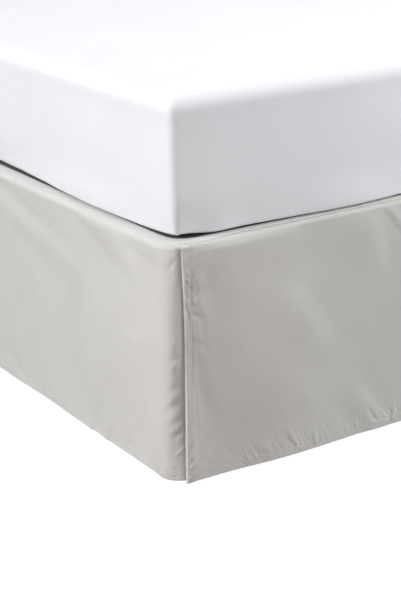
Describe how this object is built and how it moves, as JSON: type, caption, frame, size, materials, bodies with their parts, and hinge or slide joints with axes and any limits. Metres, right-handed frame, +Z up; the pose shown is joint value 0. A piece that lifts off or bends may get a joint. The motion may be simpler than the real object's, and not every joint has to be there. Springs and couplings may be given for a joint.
{
  "type": "bed skirt on a bed",
  "caption": "Tailored bed skirt with split foot corners: flat drops sewn to a deck under a plain mattress, falling over a plain box spring on legs.",
  "frame": {"origin": "on the floor, under the middle of the bed", "axes": "+Y along the bed towards the head end, +X across it towards the skirt's right drop, +Z up"},
  "size_m": [1.5299, 2.036, 0.5693],
  "materials": {
    "skirt_cloth": "light warm-grey brushed microfibre, fine plain weave, matt with a soft sheen",
    "deck_cloth": "thin plain-woven lining-weight cloth, matt",
    "mattress_cover": "smooth white cotton sheet, matt",
    "box_cover": "plain pale woven cover, matt",
    "leg_finish": "dark stained, satin"
  },
  "bodies": {
    "root": {"foot_drop": "skirt_cloth", "left_drop": "skirt_cloth", "right_drop": "skirt_cloth", "deck": "deck_cloth", "mattress": "mattress_cover", "box_spring": "box_cover", "leg_1": "leg_finish", "leg_2": "leg_finish", "leg_3": "leg_finish", "leg_4": "leg_finish", "leg_5": "leg_finish", "leg_6": "leg_finish"}
  },
  "joints": []
}
